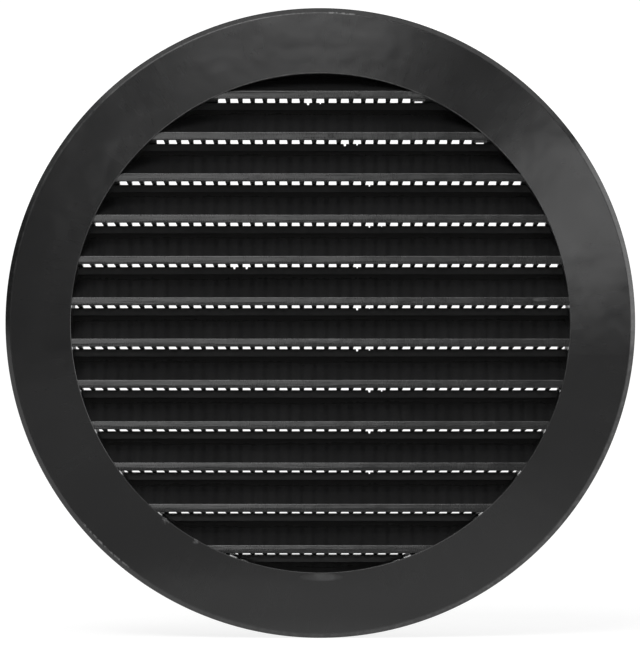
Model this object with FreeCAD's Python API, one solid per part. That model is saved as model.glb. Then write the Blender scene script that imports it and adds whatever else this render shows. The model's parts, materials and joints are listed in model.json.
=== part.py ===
import FreeCAD, Part

import math
import os

# Round louvred vent cover for a 150 mm duct, moulded in one piece in dark plastic.
# The front looks along -Y, the collar runs back along +Y into the duct, +Z is up and the
# louvres lie along X. The origin is on the vent's axis, in the plane of the wall it stands on.
# All sizes are in millimetres.

# Rim
RIM_DIAMETER = 184.0
RIM_SIDE_HEIGHT = 1.2
RIM_BEVEL_WIDTH = 1.4
RIM_BEVEL_HEIGHT = 1.3
RIM_FACE_RISE = 2.0
MOUTH_BEVEL = 0.6

# Collar
BORE_DIAMETER = 145.5
COLLAR_WALL = 1.5
COLLAR_LENGTH = 22.0
LEAD_IN_LENGTH = 2.0
LEAD_IN_DEPTH = 0.7

# Louvres
LOUVRE_PITCH = 12.05
LOUVRE_DEPTH = 11.0
LOUVRE_RECESS = 1.0
LOUVRE_ROW_SHIFT = 0.25
LIP_HEIGHT = 2.3
LIP_BEVEL = 0.35
UPSTAND_HEIGHT = 2.3
UPSTAND_WALL = 1.5
UPSTAND_LEAN = 0.37
UPSTAND_FALL = 0.15
SIGHT_GAP = 0.7

# Insect bars
BAR_PITCH = 3.6
BAR_WALL = 1.25
BAR_DRAFT_DEG = 0.65
BAR_PROUD = 0.8
SLOT_END_MARGIN = 1.0

# Moulding flash that half closes the right-hand end slot of the upper rows
FLASH_ROWS = 2
FLASH_WALL = 0.4
FLASH_DROP = 0.75

AXIS = FreeCAD.Vector(0, 1, 0)
CENTRE = FreeCAD.Vector(0, 0, 0)

rim_radius = RIM_DIAMETER / 2
bore_radius = BORE_DIAMETER / 2
collar_radius = bore_radius + COLLAR_WALL
bevel_radius = rim_radius - RIM_BEVEL_WIDTH
bevel_front = -RIM_SIDE_HEIGHT - RIM_BEVEL_HEIGHT
mouth_radius = bore_radius + MOUTH_BEVEL
mouth_front = bevel_front - RIM_FACE_RISE

lip_front = mouth_front + LOUVRE_RECESS
louvre_back = lip_front + LOUVRE_DEPTH
upstand_front = louvre_back - UPSTAND_WALL
upstand_foot = upstand_front - UPSTAND_LEAN
slope_rise = LOUVRE_PITCH - LIP_HEIGHT - UPSTAND_HEIGHT - SIGHT_GAP
slope = slope_rise / (upstand_foot - lip_front)
bar_back = louvre_back + BAR_PROUD
slot_radius = bore_radius - SLOT_END_MARGIN

# The louvres and bars run this far out, to the middle of the collar's wall
weld_radius = bore_radius + COLLAR_WALL / 2


def prism(outline, width):
    """Runs an outline of (y, z) points along X, centred on the middle plane."""
    corners = [FreeCAD.Vector(-width / 2, y, z) for y, z in outline]
    face = Part.Face(Part.makePolygon(corners + corners[:1]))
    return face.extrude(FreeCAD.Vector(width, 0, 0))


def make_rim_and_collar():
    """Turns the rim, with its conical face, and the collar that enters the duct."""
    section = [
        (rim_radius, 0),
        (rim_radius, -RIM_SIDE_HEIGHT),
        (bevel_radius, bevel_front),
        (mouth_radius, mouth_front),
        (bore_radius, mouth_front + MOUTH_BEVEL),
        (bore_radius, COLLAR_LENGTH),
        (collar_radius - LEAD_IN_DEPTH, COLLAR_LENGTH),
        (collar_radius, COLLAR_LENGTH - LEAD_IN_LENGTH),
        (collar_radius, 0),
    ]
    corners = [FreeCAD.Vector(radius, y, 0) for radius, y in section]
    face = Part.Face(Part.makePolygon(corners + corners[:1]))
    return face.revolve(CENTRE, AXIS, 360)


def row_heights():
    """Lists the height of each lip's lower edge, from the top of the bore to below its foot."""
    reach = math.ceil(bore_radius / LOUVRE_PITCH) + 1
    rows = range(reach, -reach - 1, -1)
    heights = [(row + 0.5) * LOUVRE_PITCH + LOUVRE_ROW_SHIFT - LIP_HEIGHT / 2 for row in rows]
    blade_height = LOUVRE_PITCH - SIGHT_GAP
    return [z for z in heights if -bore_radius - blade_height < z < bore_radius]


def make_blade(lip_foot):
    """Makes one louvre: a front lip, a slope that sheds rain forward, and an upstand behind.

    The lip's upper edge is bevelled. The upstand leans back, and its top falls forward so that
    it drains.
    """
    lip_top = lip_foot + LIP_HEIGHT
    upstand_top = lip_foot + LOUVRE_PITCH - SIGHT_GAP
    outline = [
        (lip_front, lip_foot),
        (lip_front, lip_top - LIP_BEVEL),
        (lip_front + LIP_BEVEL, lip_top + slope * LIP_BEVEL),
        (upstand_foot, lip_top + slope_rise),
        (upstand_front, upstand_top - UPSTAND_FALL),
        (louvre_back, upstand_top),
        (louvre_back, lip_foot + slope * LOUVRE_DEPTH),
    ]
    return prism(outline, 2 * weld_radius)


def make_web(heights):
    """Makes the plate that the upright insect bars are cut from.

    Under each louvre it fills the space behind the line from the lip's lower edge to the top
    of the upstand below, and between these stretches its front edge runs inside the louvres.
    """
    half_lip = LIP_HEIGHT / 2
    inside_upstand = louvre_back - UPSTAND_WALL / 2
    inside_rise = slope * (inside_upstand - lip_front) + half_lip
    outline = [(bar_back, heights[-1] + inside_rise), (bar_back, heights[0] + LOUVRE_PITCH)]
    for lip_foot in heights[:-1]:
        outline.append((inside_upstand, lip_foot + inside_rise))
        outline.append((lip_front + half_lip, lip_foot + slope * half_lip + half_lip))
        outline.append((lip_front, lip_foot))
        outline.append((louvre_back, lip_foot - SIGHT_GAP))
    outline.append((inside_upstand, heights[-1] + inside_rise))
    return prism(outline, 2 * weld_radius)


def slot_half_width(y):
    """Gives half the clear width between two bars, which thin towards the back."""
    draft = math.tan(math.radians(BAR_DRAFT_DEG))
    return (BAR_PITCH - BAR_WALL) / 2 - draft * (bar_back - y)


def make_slot(number):
    """Makes the upright wedge that is cut from every web between two bars.

    It stops short of the bore, so that a solid edge joins louvre to louvre along the wall.
    """
    middle = number * BAR_PITCH
    front = lip_front - LOUVRE_RECESS
    back = bar_back + BAR_PROUD
    plan = [
        (middle - slot_half_width(front), front),
        (middle + slot_half_width(front), front),
        (middle + slot_half_width(back), back),
        (middle - slot_half_width(back), back),
    ]
    near_side = max(abs(middle) - slot_half_width(lip_front), 0)
    reach = math.sqrt(slot_radius**2 - near_side**2)
    corners = [FreeCAD.Vector(x, y, -reach) for x, y in plan]
    face = Part.Face(Part.makePolygon(corners + corners[:1]))
    return face.extrude(FreeCAD.Vector(0, 0, 2 * reach))


def make_flash(lip_foot):
    """Makes the thin skin of flash under the lip, in the last slot of one row."""
    half_chord = math.sqrt(max(slot_radius**2 - lip_foot**2, 0))
    number = round(half_chord / BAR_PITCH)
    front = lip_front + FLASH_WALL
    back = front + FLASH_WALL
    root = lip_foot + slope * (back - lip_front) + LIP_HEIGHT / 2
    foot = lip_foot - FLASH_DROP
    outline = [(front, foot), (front, root), (back, root), (back, foot)]
    skin = prism(outline, BAR_PITCH)
    skin.translate(FreeCAD.Vector(number * BAR_PITCH, 0, 0))
    return skin


def make_grille():
    """Gathers the louvres and the insect bars between them, cut to the collar's round."""
    heights = row_heights()
    blades = [make_blade(z) for z in heights]
    slots_each_side = math.ceil((slot_radius + slot_half_width(lip_front)) / BAR_PITCH) - 1
    slots = [make_slot(number) for number in range(-slots_each_side, slots_each_side + 1)]
    bars = make_web(heights).cut(Part.makeCompound(slots))
    flash = [make_flash(z) for z in heights[:FLASH_ROWS]]
    core_start = FreeCAD.Vector(0, mouth_front, 0)
    core = Part.makeCylinder(weld_radius, COLLAR_LENGTH - mouth_front, core_start, AXIS)
    return [
        solid
        for group in (Part.makeCompound(blades), bars, Part.makeCompound(flash))
        for solid in group.common(core).Solids
    ]


def make_vent_cover():
    """Welds the grille into the rim and collar, as the one moulding that it is."""
    cover = make_rim_and_collar().multiFuse(make_grille())
    return cover.removeSplitter()


os.makedirs("parts", exist_ok=True)
vent_cover = make_vent_cover()
vent_cover.exportStep("parts/vent_cover.step")
print(f"solids {len(vent_cover.Solids)}, faces {len(vent_cover.Faces)}, valid {vent_cover.isValid()}")
print(f"volume {vent_cover.Volume / 1000:.1f} cm3")
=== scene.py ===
# %% [markdown]
# # A round louvred vent cover
# The real cover is one moulding in near-black plastic: a broad rim with a slightly conical face,
# thirteen sloped louvres across its mouth, fine upright bars that keep insects out, and a collar
# that pushes into a duct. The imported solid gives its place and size. This lesson models the same
# moulding again with soft edges and small flaws, and then gives it its finish, light and camera.

import json
import math
from types import SimpleNamespace

import bmesh
import bpy
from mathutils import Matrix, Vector


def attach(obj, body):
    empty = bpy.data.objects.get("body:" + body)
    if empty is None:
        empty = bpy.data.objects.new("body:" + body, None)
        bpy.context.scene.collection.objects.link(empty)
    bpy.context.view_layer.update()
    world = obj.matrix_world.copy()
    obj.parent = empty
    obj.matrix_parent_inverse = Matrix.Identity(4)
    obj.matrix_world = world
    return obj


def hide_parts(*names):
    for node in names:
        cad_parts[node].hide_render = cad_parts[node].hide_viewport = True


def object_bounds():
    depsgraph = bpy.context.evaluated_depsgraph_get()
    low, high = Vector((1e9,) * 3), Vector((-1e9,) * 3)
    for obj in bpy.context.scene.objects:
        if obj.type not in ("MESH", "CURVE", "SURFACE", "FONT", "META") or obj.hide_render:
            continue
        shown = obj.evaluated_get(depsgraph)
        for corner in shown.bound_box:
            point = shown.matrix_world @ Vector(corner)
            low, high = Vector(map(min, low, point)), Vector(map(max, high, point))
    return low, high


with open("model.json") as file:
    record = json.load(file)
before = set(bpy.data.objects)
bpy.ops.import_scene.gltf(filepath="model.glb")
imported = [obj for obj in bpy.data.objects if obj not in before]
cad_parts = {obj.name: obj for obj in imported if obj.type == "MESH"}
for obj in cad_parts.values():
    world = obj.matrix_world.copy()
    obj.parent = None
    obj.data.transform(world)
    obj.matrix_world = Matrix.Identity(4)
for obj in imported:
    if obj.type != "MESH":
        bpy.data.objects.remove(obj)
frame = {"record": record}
cad_low, cad_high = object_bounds()
MM = 0.001
mount_sizes = {mount["name"]: mount["dims"] for mount in frame["record"]["mounts"]}
print("part box in mm:", [round(v / MM, 2) for v in (*cad_low, *cad_high)])

# %% [markdown]
# ## Sizes
# What the frame knows is read from it: the rim's radius, how far the mouth stands forward, where the
# collar ends and how wide it is. The rest repeats the designer's own sizes, except that the bevel at
# the mouth is finer, as on the real cover. Keeping the sizes together means that a louvre, a bar and
# a flaw all look up the same numbers and can never drift apart.

# %% Rim and collar sizes, in metres
rim_radius = cad_high.x
mouth_front = cad_low.y
collar_back = cad_high.y
collar_radius = mount_sizes["duct_collar"]["r_mm"] * MM
collar_wall = 1.5 * MM
bore_radius = collar_radius - collar_wall
lead_in_length = collar_back - mount_sizes["duct_collar"]["length_mm"] * MM
lead_in_depth = 0.7 * MM
rim_side_height = 1.2 * MM
rim_bevel_width = 1.4 * MM
rim_bevel_height = 1.3 * MM
mouth_bevel = 0.15 * MM
bevel_radius = rim_radius - rim_bevel_width
bevel_front = -rim_side_height - rim_bevel_height
mouth_radius = bore_radius + mouth_bevel
weld_radius = bore_radius + collar_wall / 2
print(f"rim radius {rim_radius / MM:.2f} mm, bore radius {bore_radius / MM:.2f} mm")

# %% Louvre and bar sizes, in metres
louvre_pitch = 12.05 * MM
louvre_depth = 11.0 * MM
louvre_recess = 1.0 * MM
row_shift = 0.25 * MM
lip_height = 2.3 * MM
upstand_height = 2.3 * MM
upstand_wall = 1.5 * MM
upstand_lean = 0.37 * MM
upstand_fall = 0.15 * MM
sight_gap = 0.7 * MM
bar_pitch = 3.6 * MM
bar_wall = 1.25 * MM
bar_draft = math.tan(math.radians(0.65))
bar_proud = 0.8 * MM
slot_end_margin = 1.0 * MM
slot_radius = bore_radius - slot_end_margin

lip_front = mouth_front + louvre_recess
louvre_back = lip_front + louvre_depth
upstand_front = louvre_back - upstand_wall
upstand_foot = upstand_front - upstand_lean
bar_back = louvre_back + bar_proud
slope_rise = louvre_pitch - lip_height - upstand_height - sight_gap
slope = slope_rise / (upstand_foot - lip_front)
blade_height = louvre_pitch - sight_gap

reach = math.ceil(bore_radius / louvre_pitch) + 1
rows = range(reach, -reach - 1, -1)
all_feet = [(row + 0.5) * louvre_pitch + row_shift - lip_height / 2 for row in rows]
lip_feet = [z for z in all_feet if -bore_radius - blade_height < z < bore_radius]
print(f"{len(lip_feet)} louvres, lips from {lip_feet[0] / MM:.2f} to {lip_feet[-1] / MM:.2f} mm")

# %% [markdown]
# ## Soft corners
# No moulding has a truly sharp edge, and it is the small rounding that catches the light. A Bevel
# modifier could round the edges afterwards, but it stumbles where hundreds of bars meet the louvres.
# Rounding the drawn section instead, corner by corner, is exact, and it costs only a few points. A
# support point on each side of an arc keeps the flat faces beside it shading flat.

# %% Round the corners of a drawn section
ARC_STEPS = 5
SUPPORT = 0.12 * MM


def rounded_section(corners):
    """Gives the closed outline of (u, v, corner radius) points, with arcs in place of the corners."""
    outline = []
    for n, (u, v, radius) in enumerate(corners):
        corner = Vector((u, v))
        before = (Vector(corners[n - 1][:2]) - corner).normalized()
        after = (Vector(corners[(n + 1) % len(corners)][:2]) - corner).normalized()
        half_angle = before.angle(after) / 2
        support = min(SUPPORT, radius)
        cut = radius / math.tan(half_angle)
        centre = corner + (before + after).normalized() * radius / math.sin(half_angle)
        start = (corner + before * cut - centre).normalized()
        end = (corner + after * cut - centre).normalized()
        outline.append(corner + before * (cut + support))
        for step in range(ARC_STEPS + 1):
            outline.append(centre + start.slerp(end, step / ARC_STEPS) * radius)
        outline.append(corner + after * (cut + support))
    return outline


# %% Turn points into closed objects


def object_from(name, data):
    """Links a new object, at the origin, for a mesh, a lamp or a camera."""
    made = bpy.data.objects.new(name, data)
    bpy.context.scene.collection.objects.link(made)
    return made


def closed_object(name, shape):
    """Turns a finished bmesh into an object whose faces all point outwards."""
    bmesh.ops.recalc_face_normals(shape, faces=shape.faces)
    mesh_data = bpy.data.meshes.new(name)
    shape.to_mesh(mesh_data)
    shape.free()
    return object_from(name, mesh_data)


def skin_rings(shape, rings):
    """Joins neighbouring rings of vertices with four-sided faces."""
    for ring, following in zip(rings, rings[1:]):
        for n in range(len(ring)):
            m = (n + 1) % len(ring)
            shape.faces.new((ring[n], ring[m], following[m], following[n]))


# %% [markdown]
# ## Rim and collar
# On the real cover this ring was turned into the mould, so it is drawn as half a section and swept
# once round the axis. The Screw modifier does the same, but a short loop of rings closes the seam by
# itself. The mouth stands two millimetres proud of the outer edge, which makes the rim a shallow
# cone: that tilt decides which part of the room each side of the rim reflects.

# %% Turn the rim and collar
TURNS = 384


def turned(name, section):
    """Turns a closed section of (radius, y) points round the vent's axis."""
    shape = bmesh.new()
    rings = []
    for turn in range(TURNS):
        angle = math.tau * turn / TURNS
        sine = math.sin(angle)
        cosine = math.cos(angle)
        rings.append([shape.verts.new((r * sine, y, r * cosine)) for r, y in section])
    skin_rings(shape, rings + rings[:1])
    return closed_object(name, shape)


def make_ring():
    """Draws the rounded section of the rim and collar, and turns it."""
    edge = 0.3 * MM
    rim_edge = 0.5 * MM
    bevel_edge = 0.35 * MM
    mouth_edge = 0.06 * MM
    collar_edge = 0.4 * MM
    section = rounded_section([
        (rim_radius, 0, edge),
        (rim_radius, -rim_side_height, rim_edge),
        (bevel_radius, bevel_front, bevel_edge),
        (mouth_radius, mouth_front, mouth_edge),
        (bore_radius, mouth_front + mouth_bevel, mouth_edge),
        (bore_radius, collar_back, edge),
        (collar_radius - lead_in_depth, collar_back, edge),
        (collar_radius, collar_back - lead_in_length, edge),
        (collar_radius, 0, collar_edge),
    ])
    return turned("ring", section)


ring = make_ring()
print(f"ring: {len(ring.data.polygons)} faces")

# %% [markdown]
# ## One louvre and one bar
# A louvre is a long straight extrusion: a lip in front with a slight crown, a slope that sheds the
# rain forward and an upstand behind that stops what the wind drives up the slope. A bar is one tall
# comb-like plate that fills the space between the louvres and shows only as a thin fin in each gap. It
# thins towards the back, as the mould needs in order to let go. One of each is drawn here, and a later
# step repeats them.

# %% Draw one louvre
LIP_CROWN = 0.03 * MM
CROWN_HEIGHT = 0.45 * lip_height
CROWN_RADIUS = 12 * MM


def make_louvre():
    """Draws the louvre whose lip starts at height 0, longer than the bore is wide."""
    fine_edge = 0.06 * MM
    lip_foot_edge = 0.2 * MM
    lip_top_edge = 0.45 * MM
    crease = 0.3 * MM
    back_edge = 0.2 * MM
    lip_wall = 0.5 * MM
    section = rounded_section([
        (lip_front + lip_wall, 0, fine_edge),
        (lip_front + LIP_CROWN, 0, lip_foot_edge),
        (lip_front, CROWN_HEIGHT, CROWN_RADIUS),
        (lip_front + 2 * LIP_CROWN, lip_height, lip_top_edge),
        (upstand_foot, lip_height + slope_rise, crease),
        (upstand_front, blade_height - upstand_fall, fine_edge),
        (louvre_back, blade_height, fine_edge),
        (louvre_back, slope * louvre_depth, back_edge),
    ])
    shape = bmesh.new()
    ends = [[shape.verts.new((x, y, z)) for y, z in section] for x in (-rim_radius, rim_radius)]
    skin_rings(shape, ends)
    for end in ends:
        shape.faces.new(end)
    return closed_object("louvre", shape)


louvre = make_louvre()
print(f"louvre: {len(louvre.data.polygons)} faces")

# %% Draw one bar
BAR_SETBACK = 0.3 * MM


def make_comb(name, half_wall, draft):
    """Draws a comb-like plate in the middle plane, which fills the space between the louvres."""
    half_lip = lip_height / 2
    inside = louvre_back - upstand_wall / 2
    inside_rise = slope * (inside - lip_front) + half_lip
    front = lip_front + BAR_SETBACK
    outline = [(bar_back, lip_feet[-1] + inside_rise), (bar_back, lip_feet[0] + louvre_pitch)]
    for foot in lip_feet[:-1]:
        outline.append((inside, foot + inside_rise))
        outline.append((lip_front + half_lip, foot + slope * half_lip + half_lip))
        outline.append((front, foot + BAR_SETBACK / 2))
        outline.append((front, foot - sight_gap * BAR_SETBACK / louvre_depth))
        outline.append((louvre_back, foot - sight_gap))
    outline.append((inside, lip_feet[-1] + inside_rise))
    half_walls = [half_wall + draft * (bar_back - y) for y, z in outline]
    shape = bmesh.new()
    sides = []
    for hand in (-1, 1):
        sides.append([shape.verts.new((hand * h, y, z)) for h, (y, z) in zip(half_walls, outline)])
    skin_rings(shape, sides)
    for side in sides:
        shape.faces.new(side)
    return closed_object(name, shape)


bar = make_comb("bar", bar_wall / 2, bar_draft)
print(f"bar: {len(bar.data.polygons)} faces")

# %% [markdown]
# ## The finish
# Moulded plastic in a dark pigment is never one flat black. The melt leaves cloudy patches, and flow
# lines that run outwards across the rim and upright on the louvres. A painted image could be wrapped
# round the cover, but it would need a map with hidden seams. Noise on the object's own coordinates
# needs none, and it stays put on every side. A few helpers keep each node down to one short line.

# %% Helpers for node trees


def add_node(tree, kind, values=None, **settings):
    """Adds a node, with its properties set by name and its input values by socket name or number."""
    node = tree.nodes.new(kind)
    for name, value in settings.items():
        setattr(node, name, value)
    for socket, value in (values or {}).items():
        node.inputs[socket].default_value = value
    return node


def feed(tree, socket, value):
    """Links an input to another socket, or sets it to a number or a colour."""
    if isinstance(value, bpy.types.NodeSocket):
        tree.links.new(value, socket)
    else:
        socket.default_value = value


def math_node(tree, operation, *operands):
    """Adds a Math node and returns its output. Each operand is a number or a socket."""
    node = add_node(tree, "ShaderNodeMath", operation=operation)
    for socket, operand in zip(node.inputs, operands):
        feed(tree, socket, operand)
    return node.outputs[0]


def total(tree, first, *others):
    """Adds up sockets and numbers."""
    for other in others:
        first = math_node(tree, "ADD", first, other)
    return first


def product(tree, first, *others):
    """Multiplies sockets and numbers."""
    for other in others:
        first = math_node(tree, "MULTIPLY", first, other)
    return first


def most_of(tree, first, *others):
    """Gives the largest of several sockets."""
    for other in others:
        first = math_node(tree, "MAXIMUM", first, other)
    return first


# %% Patterns to build the finish from


def mapped_range(tree, value, low, high, to_low=0.0, to_high=1.0):
    """Carries a socket's value from one range to another, held at the ends."""
    ends = {"From Min": low, "From Max": high, "To Min": to_low, "To Max": to_high}
    node = add_node(tree, "ShaderNodeMapRange", ends)
    tree.links.new(value, node.inputs["Value"])
    return node.outputs[0]


def noise(tree, vector, scale, detail=2.0, rough=0.5):
    """Adds a noise pattern on a vector and returns its value."""
    node = add_node(tree, "ShaderNodeTexNoise", {"Scale": scale, "Detail": detail, "Roughness": rough})
    tree.links.new(vector, node.inputs["Vector"])
    return node.outputs["Fac"]


def combined(tree, x, y, z):
    """Makes a vector of three sockets."""
    node = add_node(tree, "ShaderNodeCombineXYZ")
    for socket, value in zip(node.inputs, (x, y, z)):
        tree.links.new(value, socket)
    return node.outputs[0]


def band(tree, value, middle, half_width):
    """Gives 1 in the middle third of a band of values and 0 beyond its half width."""
    distance = math_node(tree, "ABSOLUTE", math_node(tree, "SUBTRACT", value, middle))
    return mapped_range(tree, distance, half_width / 3, half_width, 1.0, 0.0)


def spot(tree, place, centre, radii):
    """Gives 1 inside a soft-edged ellipsoid and 0 outside it."""
    solid_share = 0.6
    shifted = add_node(tree, "ShaderNodeVectorMath", {1: centre}, operation="SUBTRACT")
    tree.links.new(place, shifted.inputs[0])
    scaled = add_node(tree, "ShaderNodeVectorMath", {1: radii}, operation="DIVIDE")
    tree.links.new(shifted.outputs[0], scaled.inputs[0])
    length = add_node(tree, "ShaderNodeVectorMath", operation="LENGTH")
    tree.links.new(scaled.outputs[0], length.inputs[0])
    return mapped_range(tree, length.outputs["Value"], solid_share, 1.0, 1.0, 0.0)


def colour_mix(tree, share, first, second):
    """Mixes two colours, each a colour or a socket, by a socket's share.

    The Mix node holds sockets for several kinds of data, and those for colours come last.
    """
    first_colour, second_colour, mixed_colour = 6, 7, 2
    node = add_node(tree, "ShaderNodeMix", data_type="RGBA")
    tree.links.new(share, node.inputs[0])
    feed(tree, node.inputs[first_colour], first)
    feed(tree, node.inputs[second_colour], second)
    return node.outputs[mixed_colour]


# %% Where a point lies


def object_axes(tree):
    """Gives a point's Object coordinates, as a vector and as its x, y and z."""
    place = add_node(tree, "ShaderNodeTexCoord").outputs["Object"]
    split = add_node(tree, "ShaderNodeSeparateXYZ")
    tree.links.new(place, split.inputs[0])
    return place, *split.outputs


def locate(tree):
    """Gives the sockets that tell where on the cover a point lies."""
    place, x, y, z = object_axes(tree)
    radius = math_node(tree, "SQRT", total(tree, product(tree, x, x), product(tree, z, z)))
    on_rim = mapped_range(tree, radius, bore_radius, mouth_radius)
    on_grille = math_node(tree, "SUBTRACT", 1.0, on_rim)
    return SimpleNamespace(
        place=place, x=x, y=y, z=z, radius=radius, on_rim=on_rim, on_grille=on_grille)


def towards(tree, at, direction):
    """Gives how far out a point lies in a direction of (x, z) across the front."""
    return total(tree, product(tree, at.x, direction[0]), product(tree, at.z, direction[1]))


# %% Flow lines and pigment
RIM_LINES_ROUND = 45.0
RIM_LINES_OUT = 60.0
RIM_LINE_RANGE = (0.28, 0.72)
LOUVRE_LINE_SCALE = 60.0
LOUVRE_LINE_SQUEEZE = 20.0
FLOW_DETAIL = 4.0
DARK = (0.0100, 0.0100, 0.0102, 1)
LESS_DARK = (0.0160, 0.0160, 0.0163, 1)
PIGMENT_RANGE = (0.35, 0.65)

# Noises are given as scale, detail and roughness
CLOUDS = (38.0, 3.0, 0.55)


def flow_lines(tree, at):
    """Gives the lines that the melt leaves, outwards on the rim and upright on the louvres."""
    across = product(tree, math_node(tree, "DIVIDE", at.x, at.radius), RIM_LINES_ROUND)
    along = product(tree, math_node(tree, "DIVIDE", at.z, at.radius), RIM_LINES_ROUND)
    out = product(tree, at.radius, RIM_LINES_OUT)
    outwards = noise(tree, combined(tree, across, along, out), 1.0, FLOW_DETAIL)
    outwards = mapped_range(tree, outwards, 0.0, 1.0, *RIM_LINE_RANGE)
    squeezed = combined(tree, product(tree, at.x, LOUVRE_LINE_SQUEEZE), at.y, at.z)
    upright = noise(tree, squeezed, LOUVRE_LINE_SCALE, FLOW_DETAIL)
    return total(tree, product(tree, outwards, at.on_rim), product(tree, upright, at.on_grille))


def pigment(tree, at, streaks):
    """Gives the near-black of the plastic, half cloudy and half streaked."""
    clouds = noise(tree, at.place, *CLOUDS)
    mixed = total(tree, product(tree, clouds, 0.5), product(tree, streaks, 0.5))
    return colour_mix(tree, mapped_range(tree, mixed, *PIGMENT_RANGE), DARK, LESS_DARK)


# %% [markdown]
# ## Wear, dirt and painted light
# The cover has been handled. Its outer edge is rubbed grey in places, most of all at the lower
# left, and broken grey lines along the rim's edges and the mouth are wear and painted highlight.
# A painted highlight sits on the mouth's edge at the foot, pale smears and a few dark specks mark
# the lips, and a paler grey on the slopes in front of the upstands is dust and painted fill light.
# Each mark could be painted by hand on an image. Here it is a soft spot at its own place: noise tears
# the scuffs, the rubs and the specks, and makes the smears and the highlight uneven, so that none of
# them has a drawn outline.

# %% Places of the marks, each a centre and half sizes in metres
MARK_DEPTH = 1.0 * MM


def on_lip(row, x, height, half_width, half_height):
    """Places a mark on the lip of a row, at a height above the lip's lower edge."""
    return (x, lip_front, lip_feet[row] + height), (half_width, MARK_DEPTH, half_height)


SMEARS_AND_HIGHLIGHT = [
    # The first is a painted highlight on the mouth's edge at the foot, where its rounding faces up; the
    # others are pale smears on the lips.
    ((0.0003, -0.0044, -0.0741), (0.0066, 0.002, 0.0013)),
    on_lip(0, 0.0285, 0.0013, 0.0016, 0.0009),
    on_lip(0, 0.0261, 0.0016, 0.0007, 0.0008),
    on_lip(5, 0.0642, 0.0017, 0.0026, 0.0006),
    on_lip(6, -0.0018, 0.0021, 0.0023, 0.0005),
    on_lip(6, 0.0038, 0.0021, 0.0027, 0.0005),
]
SCUFFS = [
    ((-0.0449, -0.0041, -0.0575), (0.0016, 0.0012, 0.0014)),
    ((-0.0362, -0.0041, -0.0634), (0.0014, 0.0012, 0.0012)),
]
EDGE_RUBS = [
    ((-0.0664, -0.0024, -0.0618), (0.006, 0.002, 0.006)),
    ((-0.0595, -0.0024, -0.0690), (0.005, 0.002, 0.005)),
    ((0.0060, -0.0024, 0.0904), (0.005, 0.002, 0.002)),
]
SPECKS = [
    on_lip(0, 0.0109, 0.0012, 0.0011, 0.0007),
    on_lip(1, 0.0030, 0.0012, 0.0012, 0.0008),
]
print(f"{len(SMEARS_AND_HIGHLIGHT)} smears, {len(SCUFFS)} scuffs")
print(f"{len(EDGE_RUBS)} rubbed places, {len(SPECKS)} dark specks")

# %% Dust and painted fill light in front of the upstands
# A paler grey on the deep slopes: dust, and painted fill light that lifts the shade before the
# upstands.
DUST_AND_FILL_GREY = (0.045, 0.045, 0.044, 1)
DUST_AND_FILL_SHARE = 0.75
DUST_AND_FILL_START = lip_front + 5.6 * MM
DUST_AND_FILL_FULL = lip_front + 8.6 * MM
DUST_AND_FILL_FADE = 0.2 * MM


def dust_and_fill(tree, at):
    """Gives the paler grey on the slopes, most before the upstands: dust, and painted light that lifts
    the shade there.
    """
    dust_and_fill_depth = mapped_range(tree, at.y, DUST_AND_FILL_START, DUST_AND_FILL_FULL, 0.0, DUST_AND_FILL_SHARE)
    on_slope = mapped_range(tree, at.y, upstand_foot - DUST_AND_FILL_FADE, upstand_foot, 1.0, 0.0)
    return product(tree, dust_and_fill_depth, on_slope, at.on_grille)


# %% Worn edges and painted highlights
UPPER_LEFT = (-0.6, 0.8)
LOWER_RIGHT = (0.75, -0.66)
EDGE_LINE_WIDTH = 0.35 * MM
BEVEL_FADE = 0.3 * MM
MOUTH_LINE_WIDTH = 0.2 * MM
FRONT_ONLY = (-1.0 * MM, -1.6 * MM)

# Wear and painted highlight are given as two places in metres and the share at each
EDGE_WEAR_AND_HIGHLIGHT = (0.06, 0.085, 0.15, 0.6)
BEVEL_WEAR_AND_HIGHLIGHT = (0.0, 0.09, 0.1, 0.9)
MOUTH_WEAR_AND_HIGHLIGHT_UPWARDS = (-0.03, 0.03, 0.3, 0.8)
MOUTH_WEAR_AND_HIGHLIGHT_TO_THE_RIGHT = (-0.07, -0.03, 0.0, 1.0)
EDGE_BREAK_NOISE = (420.0, 5.0, 0.65)
EDGE_BREAK_RANGE = (0.40, 0.62, 0.2, 1.0)


def wear_and_highlights(tree, at, edge_line):
    """Gives the broken grey of wear and painted highlight: along the rim's edge, most at the upper
    left, on its bevel, most at the lower right, and round the mouth, most at the top and none at the
    far left.
    """
    # The grey is strongest on the sides where each edge catches the lamps: painted highlights, broken
    # like wear.
    line = product(tree, edge_line, mapped_range(tree, towards(tree, at, UPPER_LEFT), *EDGE_WEAR_AND_HIGHLIGHT))
    on_bevel = mapped_range(tree, at.radius, bevel_radius, bevel_radius + BEVEL_FADE)
    bevel = product(tree, on_bevel, mapped_range(tree, towards(tree, at, LOWER_RIGHT), *BEVEL_WEAR_AND_HIGHLIGHT))
    upwards = mapped_range(tree, at.z, *MOUTH_WEAR_AND_HIGHLIGHT_UPWARDS)
    to_the_right = mapped_range(tree, at.x, *MOUTH_WEAR_AND_HIGHLIGHT_TO_THE_RIGHT)
    mouth_line = band(tree, at.radius, mouth_radius, MOUTH_LINE_WIDTH)
    mouth = product(tree, mouth_line, product(tree, upwards, to_the_right))
    in_front = mapped_range(tree, at.y, *FRONT_ONLY)
    broken = mapped_range(tree, noise(tree, at.place, *EDGE_BREAK_NOISE), *EDGE_BREAK_RANGE)
    return product(tree, most_of(tree, line, bevel, mouth), in_front, broken)


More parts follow.
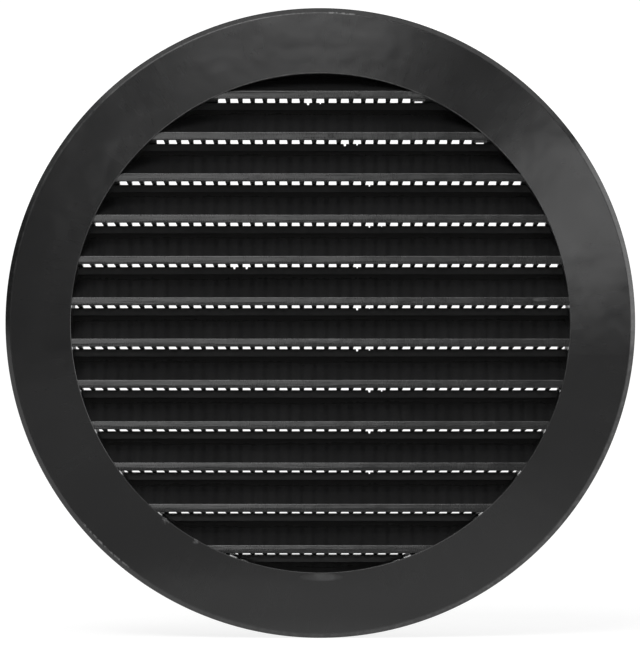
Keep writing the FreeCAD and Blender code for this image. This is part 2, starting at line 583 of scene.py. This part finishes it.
# %% Scuffs, smears and specks
SCUFF_AND_HIGHLIGHT_GREY = (0.22, 0.22, 0.22, 1)
SPECK_BLACK = (0.004, 0.004, 0.004, 1)
EDGE_GREY_SHARE = 0.4
SCUFF_SHARE = 0.5
TEARING_NOISE = (900.0, 4.0, 0.6)
TEARING_RANGE = (0.42, 0.6)
SMEAR_SCALE = 350.0
SMEAR_SHARES = (0.35, 0.65, 0.1, 0.25)


def spots(tree, at, marks):
    """Gives 1 on any of the marks."""
    return most_of(tree, *[spot(tree, at.place, *mark) for mark in marks])


def handling_marks_and_highlights(tree, at):
    """Gives how grey each point is, from rubs, smears and painted highlights, and how dark it is
    specked.
    """
    edge_line = band(tree, at.radius, bevel_radius, EDGE_LINE_WIDTH)
    # The edge grey holds painted highlights as well as wear.
    edge_grey = product(tree, wear_and_highlights(tree, at, edge_line), EDGE_GREY_SHARE)
    torn = mapped_range(tree, noise(tree, at.place, *TEARING_NOISE), *TEARING_RANGE)
    scuffed = product(tree, spots(tree, at, SCUFFS), SCUFF_SHARE)
    rubbed = product(tree, spots(tree, at, EDGE_RUBS), edge_line)
    uneven = mapped_range(tree, noise(tree, at.place, SMEAR_SCALE), *SMEAR_SHARES)
    smears_and_highlight = product(tree, spots(tree, at, SMEARS_AND_HIGHLIGHT), uneven)
    grey = most_of(tree, edge_grey, product(tree, most_of(tree, scuffed, rubbed), torn), smears_and_highlight)
    return grey, product(tree, spots(tree, at, SPECKS), torn)


# %% [markdown]
# ## Gloss and grain
# Near-black satin plastic shows mostly what it mirrors, so its gloss tells the eye more than its
# colour does. The rim and the lips are the smoothest, and the slopes and the inner wall are duller.
# The tool leaves a fine grain, lines along the lips and slight waves in the broad faces. All of these
# are far too small to model, and a Bump node tilts the light as if they were there.

# %% Gloss
SATIN_NOISE = (90.0, 4.0, 0.6)

# Roughness is given as two values of a pattern, or two places in metres, and what it adds at each
SATIN = (0.25, 0.75, 0.15, 0.19)
STREAK_DULLNESS = (0.3, 0.7, -0.005, 0.005)
WALL_DULLNESS = (0.0, 4 * MM, 0.0, 0.3)
SLOPE_DULLNESS = (lip_front + 0.5 * MM, lip_front + 2.5 * MM, 0.0, 0.08)
BACK_DULLNESS = (lip_front + 6 * MM, lip_front + 9 * MM, 0.0, 0.05)
MARK_DULLNESS = 0.3


def dullness(tree, at, streaks, marked):
    """Gives the roughness: satin patches, and what streaks, marks and depth add to them."""
    satin = mapped_range(tree, noise(tree, at.place, *SATIN_NOISE), *SATIN)
    streaked = mapped_range(tree, streaks, *STREAK_DULLNESS)
    rubbed = product(tree, marked, MARK_DULLNESS)
    on_inner_wall = mapped_range(tree, at.radius, slot_radius, bore_radius)
    wall = product(tree, mapped_range(tree, at.y, *WALL_DULLNESS), on_inner_wall)
    slopes = product(tree, mapped_range(tree, at.y, *SLOPE_DULLNESS), at.on_grille)
    backs = product(tree, mapped_range(tree, at.y, *BACK_DULLNESS), at.on_grille)
    return total(tree, satin, streaked, rubbed, wall, slopes, backs)


# %% Grain, lines and waves
LIP_FADE = (lip_front + 0.2 * MM, lip_front + 0.6 * MM, 1.0, 0.0)
LIP_LINE_SCALE = 60.0
LIP_LINE_DETAIL = 3.0
LIP_LINE_SQUEEZE = 25.0
LIP_LINE_HEIGHT = 12.0
GRAIN_NOISE = (2400.0, 2.0, 0.6)
GRAIN_STRENGTH = 0.08
GRAIN_HEIGHT = 0.05 * MM
WAVE_SCALE = 70.0
WAVE_STRENGTH = 1.0
WAVE_HEIGHT = 0.15 * MM


def surface(tree, at):
    """Gives the normal of a face with slight waves, fine grain and lines along the lips."""
    lip_share = product(tree, mapped_range(tree, at.y, *LIP_FADE), at.on_grille)
    squeezed = combined(tree, at.x, at.y, product(tree, at.z, LIP_LINE_SQUEEZE))
    lines = noise(tree, squeezed, LIP_LINE_SCALE, LIP_LINE_DETAIL)
    lines = product(tree, lines, lip_share, LIP_LINE_HEIGHT)
    grain = total(tree, noise(tree, at.place, *GRAIN_NOISE), lines)
    waves = add_node(tree, "ShaderNodeBump", {"Strength": WAVE_STRENGTH, "Distance": WAVE_HEIGHT})
    tree.links.new(noise(tree, at.place, WAVE_SCALE), waves.inputs["Height"])
    bump = add_node(tree, "ShaderNodeBump", {"Strength": GRAIN_STRENGTH, "Distance": GRAIN_HEIGHT})
    tree.links.new(grain, bump.inputs["Height"])
    tree.links.new(waves.outputs[0], bump.inputs["Normal"])
    return bump.outputs[0]


# %% Dark moulded plastic
PLASTIC_IOR = 1.5


def new_material(name):
    """Adds a material, and returns it with its node tree and its shader."""
    material = bpy.data.materials.new(name)
    material.use_nodes = True
    return material, material.node_tree, material.node_tree.nodes["Principled BSDF"]


def make_dark_plastic():
    """Builds the near-black satin finish of the moulding, layer on layer."""
    material, tree, shader = new_material("dark_plastic")
    at = locate(tree)
    streaks = flow_lines(tree, at)
    grey, dark = handling_marks_and_highlights(tree, at)
    colour = pigment(tree, at, streaks)
    # The dust layer also holds painted fill light on the deep slopes, and the grey layer holds painted
    # highlights along the edges and at the mouth's foot.
    for share, layer in ((dust_and_fill(tree, at), DUST_AND_FILL_GREY), (grey, SCUFF_AND_HIGHLIGHT_GREY), (dark, SPECK_BLACK)):
        colour = colour_mix(tree, share, colour, layer)
    marked = most_of(tree, grey, dark)
    tree.links.new(colour, shader.inputs["Base Color"])
    tree.links.new(dullness(tree, at, streaks, marked), shader.inputs["Roughness"])
    tree.links.new(surface(tree, at), shader.inputs["Normal"])
    shader.inputs["IOR"].default_value = PLASTIC_IOR
    return material


dark_plastic = make_dark_plastic()
print(f"{dark_plastic.name}: {len(dark_plastic.node_tree.nodes)} nodes")

# %% [markdown]
# ## Repeating the louvres and the bars
# Thirteen louvres and some forty bars differ only in where they stand, so one small tree of Geometry
# Nodes serves both: it sets copies along a line, makes them real and trims them to a round core that
# ends inside the collar's wall. Arrays of linked objects would look the same, but could not be trimmed
# as one, and the trimmed ends are what lets the whole cover become a single closed skin. Small plugs
# close the upper ends of the slots, where the real cover shows no light along the wall.

# %% A tree that repeats a shape along a line and trims it round


def socket_in(tree, name, kind, default=None):
    """Adds a named input to a tree, and returns the socket's identifier."""
    made = tree.interface.new_socket(name, in_out="INPUT", socket_type=kind)
    if default is not None:
        made.default_value = default
    return made.identifier


def make_row_tree():
    """Builds the tree, and returns it with the identifiers of its inputs by name."""
    tree = bpy.data.node_groups.new("row_in_round", "GeometryNodeTree")
    sockets = {
        "shape": socket_in(tree, "Shape", "NodeSocketGeometry"),
        "count": socket_in(tree, "Count", "NodeSocketInt", 2),
        "start": socket_in(tree, "Start", "NodeSocketVector"),
        "step": socket_in(tree, "Step", "NodeSocketVector"),
        "core_radius": socket_in(tree, "Core radius", "NodeSocketFloat"),
        "core_length": socket_in(tree, "Core length", "NodeSocketFloat"),
        "material": socket_in(tree, "Material", "NodeSocketMaterial"),
    }
    tree.interface.new_socket("Row", in_out="OUTPUT", socket_type="NodeSocketGeometry")
    given = tree.nodes.new("NodeGroupInput")
    result = tree.nodes.new("NodeGroupOutput")
    line = add_node(tree, "GeometryNodeMeshLine", mode="OFFSET")
    copies = add_node(tree, "GeometryNodeInstanceOnPoints")
    real = add_node(tree, "GeometryNodeRealizeInstances")
    core = add_node(tree, "GeometryNodeMeshCylinder", {"Vertices": TURNS})
    lying = add_node(tree, "GeometryNodeTransform", {"Rotation": (math.pi / 2, 0, 0)})
    trim = add_node(tree, "GeometryNodeMeshBoolean", operation="INTERSECT", solver="MANIFOLD")
    finish = add_node(tree, "GeometryNodeSetMaterial")
    for source, target in (
        (given.outputs["Count"], line.inputs["Count"]),
        (given.outputs["Start"], line.inputs["Start Location"]),
        (given.outputs["Step"], line.inputs["Offset"]),
        (line.outputs["Mesh"], copies.inputs["Points"]),
        (given.outputs["Shape"], copies.inputs["Instance"]),
        (copies.outputs["Instances"], real.inputs["Geometry"]),
        (given.outputs["Core radius"], core.inputs["Radius"]),
        (given.outputs["Core length"], core.inputs["Depth"]),
        (core.outputs["Mesh"], lying.inputs["Geometry"]),
        (real.outputs["Geometry"], trim.inputs["Mesh 2"]),
        (lying.outputs["Geometry"], trim.inputs["Mesh 2"]),
        (trim.outputs["Mesh"], finish.inputs["Geometry"]),
        (given.outputs["Material"], finish.inputs["Material"]),
        (finish.outputs["Geometry"], result.inputs["Row"]),
    ):
        tree.links.new(source, target)
    return tree, sockets


row_tree, row_sockets = make_row_tree()
print(f"row tree: {len(row_tree.nodes)} nodes")

# %% Set out the louvres and the bars


def plain_mesh(source, name):
    """Freezes an object's modifiers into a plain mesh, and removes the object it came from."""
    graph = bpy.context.evaluated_depsgraph_get()
    mesh_data = bpy.data.meshes.new_from_object(source.evaluated_get(graph))
    mesh_data.name = name
    bpy.data.objects.remove(source)
    return object_from(name, mesh_data)


def set_out(shape, name, count, start, step):
    """Repeats a shape along a line inside the collar's round, as one plain mesh."""
    row = shape.modifiers.new("row", "NODES")
    row.node_group = row_tree
    for key, value in (
        ("count", count),
        ("start", start),
        ("step", step),
        ("core_radius", weld_radius),
        ("core_length", 2 * collar_back),
        ("material", dark_plastic),
    ):
        row[row_sockets[key]] = value
    return plain_mesh(shape, name)


columns = 2 * math.ceil(weld_radius / bar_pitch)
first_column = -(columns - 1) / 2 * bar_pitch
louvres = set_out(louvre, "louvres", len(lip_feet), (0, 0, lip_feet[0]), (0, 0, -louvre_pitch))
bars = set_out(bar, "bars", columns, (first_column, 0, 0), (bar_pitch, 0, 0))
print(f"louvres {len(louvres.data.polygons)} faces, {columns} bars {len(bars.data.polygons)} faces")

# %% Close the upper ends of the slots


def add_boolean(target, operation, operand):
    """Adds a Boolean modifier with the Manifold solver to an object."""
    boolean = target.modifiers.new(operand.name, "BOOLEAN")
    boolean.operation = operation
    boolean.solver = "MANIFOLD"
    boolean.object = operand


def add_block(shape, low, high):
    """Adds a closed block between two corners to a bmesh."""
    (x0, y0, z0), (x1, y1, z1) = low, high
    verts = [shape.verts.new((x, y, z)) for x in (x0, x1) for y in (y0, y1) for z in (z0, z1)]
    bmesh.ops.convex_hull(shape, input=verts)


def make_plugs():
    """Closes the upper ends of the slots, which stop short of the wall. The lower ends reach it."""
    half_slot = (bar_pitch - bar_wall) / 2 - bar_draft * (bar_back - lip_front)
    side = half_slot + bar_wall / 3
    last_slot = math.ceil((slot_radius + half_slot) / bar_pitch) - 1
    shape = bmesh.new()
    for number in range(-last_slot, last_slot + 1):
        middle = number * bar_pitch
        near_side = max(abs(middle) - half_slot, 0)
        slot_top = math.sqrt(slot_radius**2 - near_side**2)
        low = (middle - side, mouth_front, slot_top)
        add_block(shape, low, (middle + side, collar_back, rim_radius))
    blocks = closed_object("plugs", shape)
    web = make_comb("web", rim_radius, 0)
    add_boolean(blocks, "INTERSECT", web)
    trimmed = set_out(blocks, "plugs", 1, (0, 0, 0), (0, 0, 0))
    bpy.data.objects.remove(web)
    return trimmed


plugs = make_plugs()
print(f"plugs {len(plugs.data.polygons)} faces")

# %% [markdown]
# ## Flaws of the moulding
# The real cover isn't perfect. A little plastic has crept into the last slot of the two upper rows and
# left only a sliver open, and a row of small nicks runs down the tops of the upstands where the mould
# has been damaged. They could be painted as bright spots, but then other views would show them wrong,
# so they are modelled, and the light behind the cover comes through them.

# %% Flash
FLASH_ROWS = 2
FLASH_WALL = 0.4 * MM
FLASH_DROP = 0.75 * MM


def make_flash():
    """Makes the skins of plastic that hang under the lip in the last slot of the upper rows."""
    shape = bmesh.new()
    front = lip_front + FLASH_WALL
    back = front + FLASH_WALL
    for foot in lip_feet[:FLASH_ROWS]:
        number = round(math.sqrt(slot_radius**2 - foot**2) / bar_pitch)
        middle = number * bar_pitch
        root = foot + slope * (back - lip_front) + lip_height / 2
        low = (middle - bar_pitch / 2, front, foot - FLASH_DROP)
        add_block(shape, low, (middle + bar_pitch / 2, back, root))
    return closed_object("flash", shape)


flash = make_flash()
print(f"{FLASH_ROWS} skins of flash")

# %% Nicks
NICK_WIDTH = 1.0 * MM
NICK_DEPTH = 0.75 * MM

# The row from the top, the slot from the middle, and the share of the full size
NICKS = [
    (0, -1, 1.0), (0, 0, 0.6), (1, 2, 1.0), (1, 3, 0.7), (2, 4, 0.7), (3, 4, 0.7), (3, 5, 0.4),
    (4, -7, 0.9), (4, -6, 0.9), (4, 3, 0.6), (5, 3, 0.9), (5, 4, 0.4), (6, 3, 0.9), (6, 4, 0.6),
    (7, 4, 0.9), (7, 5, 0.6), (8, 4, 0.9), (8, 5, 0.4), (9, 4, 0.7),
]


def make_nicks():
    """Makes the small wedges that are cut from the tops of the upstands."""
    shape = bmesh.new()
    for row, slot, share in NICKS:
        top = lip_feet[row] - sight_gap
        middle = slot * bar_pitch
        corners = []
        for y in (upstand_front - upstand_wall, bar_back + upstand_wall):
            corners.append((middle - share * NICK_WIDTH / 2, y, top + NICK_DEPTH / 2))
            corners.append((middle + share * NICK_WIDTH / 2, y, top + NICK_DEPTH / 2))
            corners.append((middle + share * NICK_WIDTH / 4, y, top - share * NICK_DEPTH))
            corners.append((middle - share * NICK_WIDTH / 4, y, top - share * NICK_DEPTH))
        verts = [shape.verts.new(corner) for corner in corners]
        bmesh.ops.convex_hull(shape, input=verts)
    return closed_object("nicks", shape)


nicks = make_nicks()
print(f"{len(NICKS)} nicks")

# %% [markdown]
# ## One moulding
# Ring, louvres, bars, plugs and flash leave the mould as one body, so here they become one closed skin.
# A heap of overlapping meshes would render much the same, but it would print and measure wrongly. The
# Manifold solver of the Boolean modifier is made for this: closed shapes in, one closed shape out. The
# slivers that it leaves, finer than a micrometre, are merged afterwards.

# %% Join everything into one skin


def join_solids(base, added, cut, name):
    """Unites closed shapes, cuts another from them and returns the one skin that is left."""
    for operand in added:
        add_boolean(base, "UNION", operand)
    add_boolean(base, "DIFFERENCE", cut)
    joined = plain_mesh(base, name)
    for operand in (*added, cut):
        bpy.data.objects.remove(operand)
    return joined


vent_cover = join_solids(ring, [louvres, bars, plugs, flash], nicks, "vent_cover_skin")
print(f"joined: {len(vent_cover.data.polygons)} faces")

# %% Merge the slivers
SLIVER_SIZE = 0.001 * MM
CM = 10 * MM

skin = bmesh.new()
skin.from_mesh(vent_cover.data)
bmesh.ops.remove_doubles(skin, verts=skin.verts, dist=SLIVER_SIZE)
bmesh.ops.dissolve_degenerate(skin, edges=skin.edges, dist=SLIVER_SIZE)
open_edges = sum(1 for edge in skin.edges if len(edge.link_faces) != 2)
triangles = sum(len(face.verts) - 2 for face in skin.faces)
volume = skin.calc_volume() / CM**3
skin.to_mesh(vent_cover.data)
skin.free()
print(f"one skin: {triangles} triangles, {open_edges} open edges, {volume:.1f} cm3")

# %% Finish the skin, hide the imported part and attach the skin to the root
SHARP_ANGLE = math.radians(30)

vent_cover.data.materials.clear()
vent_cover.data.materials.append(dark_plastic)
vent_cover.data.shade_smooth()
vent_cover.data.set_sharp_from_angle(angle=SHARP_ANGLE)

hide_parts("vent_cover")
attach(vent_cover, "root")
print(f"{vent_cover.name} in {dark_plastic.name}")

# %% [markdown]
# ## Floor, backdrop and light
# The cover stands before white, and the white shows through every slot. Floor and backdrop are one
# pale sweep. The camera sees it white all over, and it still takes the cover's shadow. The plastic
# mirrors it white only near the cover, and more to the right than to the left, because a rim that
# mirrored all of it would be too bright below. Black satin plastic shows little colour of its own:
# what the eye reads is the light that it mirrors, so the lamps are placed for their reflections. The
# rim is a cone, and each side of it mirrors another part of the room.

# %% Pale surface
FLOOR_GREY = (0.42, 0.42, 0.42, 1)
FLOOR_ROUGHNESS = 0.9
SHADOW_GREY = (0.3, 0.3, 0.3, 1)
WHITE = (1, 1, 1, 1)

# Strengths are given as two places in metres and the strength at each
WHITENESS = (0.3, 1.0, 0.85, 1.0)
GLOW_START = -0.063
GLOW_FROM_AHEAD = (-0.35, GLOW_START, 0.0, 1.0)
GLOW_TO_THE_RIGHT = (-0.06, 0.1, 0.1, 0.8)
GLOW_BEFORE_THE_COVER = (-0.095, GLOW_START, 0.0, 0.6)
GLOW_UNDER_THE_COVER = (GLOW_START, 0.0, 0.0, 1.0)


def mirrored_glow(tree, x, y):
    """Gives how white a point of the sweep is when the plastic mirrors it."""
    ahead = mapped_range(tree, y, *GLOW_FROM_AHEAD)
    to_the_right = mapped_range(tree, x, *GLOW_TO_THE_RIGHT)
    before = mapped_range(tree, y, *GLOW_BEFORE_THE_COVER)
    under = mapped_range(tree, y, *GLOW_UNDER_THE_COVER)
    return most_of(tree, product(tree, ahead, to_the_right), before, under)


def make_backdrop_material():
    """Builds a pale surface that the camera sees nearly white and that still takes a shadow."""
    material, tree, shader = new_material("pale_sweep")
    shader.inputs["Base Color"].default_value = FLOOR_GREY
    shader.inputs["Roughness"].default_value = FLOOR_ROUGHNESS
    x, y = object_axes(tree)[1:3]
    path = add_node(tree, "ShaderNodeLightPath")
    mirrored = most_of(tree, path.outputs["Is Glossy Ray"], path.outputs["Is Transmission Ray"])
    mirrored = product(tree, mirrored, mirrored_glow(tree, x, y))
    seen = most_of(tree, path.outputs["Is Camera Ray"], mirrored)
    white = add_node(tree, "ShaderNodeEmission", {"Color": WHITE})
    lit = add_node(tree, "ShaderNodeBsdfDiffuse", {"Color": SHADOW_GREY})
    both = add_node(tree, "ShaderNodeAddShader")
    mix = add_node(tree, "ShaderNodeMixShader")
    for source, target in (
        (mapped_range(tree, y, *WHITENESS), white.inputs["Strength"]),
        (white.outputs[0], both.inputs[0]),
        (lit.outputs[0], both.inputs[1]),
        (seen, mix.inputs[0]),
        (shader.outputs[0], mix.inputs[1]),
        (both.outputs[0], mix.inputs[2]),
        (mix.outputs[0], tree.nodes["Material Output"].inputs["Surface"]),
    ):
        tree.links.new(source, target)
    return material


pale_surface = make_backdrop_material()
print(f"{pale_surface.name}: {len(pale_surface.node_tree.nodes)} nodes")

# %% Floor and backdrop
FLOOR_FRONT = -3.0
FLOOR_DEPTH = 2.4
FLOOR_HALF_WIDTH = 3.0
BACKDROP_HEIGHT = 0.6
SWEEP_RADIUS = 0.4
SWEEP_STEPS = 16


def make_sweep():
    """Draws the floor that curves up into the backdrop."""
    floor_height = cad_low.z
    profile = [(FLOOR_FRONT, floor_height)]
    for step in range(SWEEP_STEPS + 1):
        angle = math.pi / 2 * step / SWEEP_STEPS
        y = FLOOR_DEPTH - SWEEP_RADIUS + SWEEP_RADIUS * math.sin(angle)
        profile.append((y, floor_height + SWEEP_RADIUS * (1 - math.cos(angle))))
    profile.append((FLOOR_DEPTH, BACKDROP_HEIGHT))
    sides = (-FLOOR_HALF_WIDTH, FLOOR_HALF_WIDTH)
    shape = bmesh.new()
    edges = [[shape.verts.new((x, y, z)) for x in sides] for y, z in profile]
    for (a, b), (c, d) in zip(edges, edges[1:]):
        shape.faces.new((a, b, d, c))
    mesh_data = bpy.data.meshes.new("pale_sweep")
    shape.to_mesh(mesh_data)
    shape.free()
    mesh_data.shade_smooth()
    return object_from("pale_sweep", mesh_data)


sweep = make_sweep()
sweep.data.materials.append(pale_surface)
print(f"sweep: {len(sweep.data.polygons)} faces")

# %% Lamps
ROOM_LIGHT = 0.02


def add_softbox(name, place, size, radiance, aim=(0, 0, 0)):
    """Hangs a flat lamp that faces a point and looks as bright as the radiance given."""
    lamp = bpy.data.lights.new(name, "AREA")
    lamp.shape = "RECTANGLE"
    lamp.size, lamp.size_y = size
    lamp.energy = radiance * math.pi * size[0] * size[1]
    box = object_from(name, lamp)
    box.location = place
    box.rotation_euler = (Vector(aim) - Vector(place)).to_track_quat("-Z", "Y").to_euler()


# Name, place, width and height in metres, and radiance
add_softbox("key_box", (-0.4, -1.2, 1.2), (1.0, 0.8), 6.5)
add_softbox("top_box", (0.2, -0.3, 1.6), (3.6, 1.0), 0.92, aim=(0.2, 0, 0))
add_softbox("right_box", (1.7, -0.35, 0.25), (1.2, 1.7), 2.6)
add_softbox("upper_right_box", (0.635, -2.11, 0.27), (0.35, 0.4), 2.4)
add_softbox("high_box", (-0.12, -2.2, 0.86), (0.74, 0.3), 2.4)
add_softbox("upper_left_box", (-1.6, -0.3, 1.2), (1.0, 1.0), 0.38)
add_softbox("front_wall", (0.0, -3.0, 0.6), (6.0, 4.0), 0.15)
add_softbox("axis_box", (-0.2, -2.2, 0.205), (0.5, 0.45), 2.75)

world = bpy.data.worlds.new("room")
bpy.context.scene.world = world
world.use_nodes = True
room = world.node_tree.nodes["Background"]
room.inputs["Color"].default_value = WHITE
room.inputs["Strength"].default_value = ROOM_LIGHT

# %% [markdown]
# ## Camera
# The slots in the top rows look taller than those in the bottom rows, by just as much as a camera 1.6
# metres away would show, straight in front of the cover. A camera without perspective would show them
# all alike. Its lens is worked out from how large the cover stands in the picture.

# %% Set up the camera and the view
IMAGE_WIDTH = 640
IMAGE_HEIGHT = 650
RIM_RADIUS_PX = 315.0
RIM_CENTRE_PX = (320.3, 323.0)
CAMERA_DISTANCE = 1.6
SENSOR_WIDTH = 36.0
NEAREST = 0.01
FARTHEST = 50.0

camera_data = bpy.data.cameras.new("camera")
camera = object_from("camera", camera_data)
camera.location = (0, -CAMERA_DISTANCE, 0)
camera.rotation_euler = (math.pi / 2, 0, 0)
rim_distance = CAMERA_DISTANCE - rim_side_height
view_height = rim_radius / RIM_RADIUS_PX * IMAGE_HEIGHT
camera_data.sensor_width = SENSOR_WIDTH
camera_data.lens = SENSOR_WIDTH * rim_distance / view_height
camera_data.shift_x = (IMAGE_WIDTH / 2 - RIM_CENTRE_PX[0]) / IMAGE_HEIGHT
camera_data.shift_y = (RIM_CENTRE_PX[1] - IMAGE_HEIGHT / 2) / IMAGE_HEIGHT
camera_data.clip_start = NEAREST
camera_data.clip_end = FARTHEST
bpy.context.scene.camera = camera
bpy.context.scene.view_settings.view_transform = "Standard"
print(f"lens {camera_data.lens:.1f} mm")
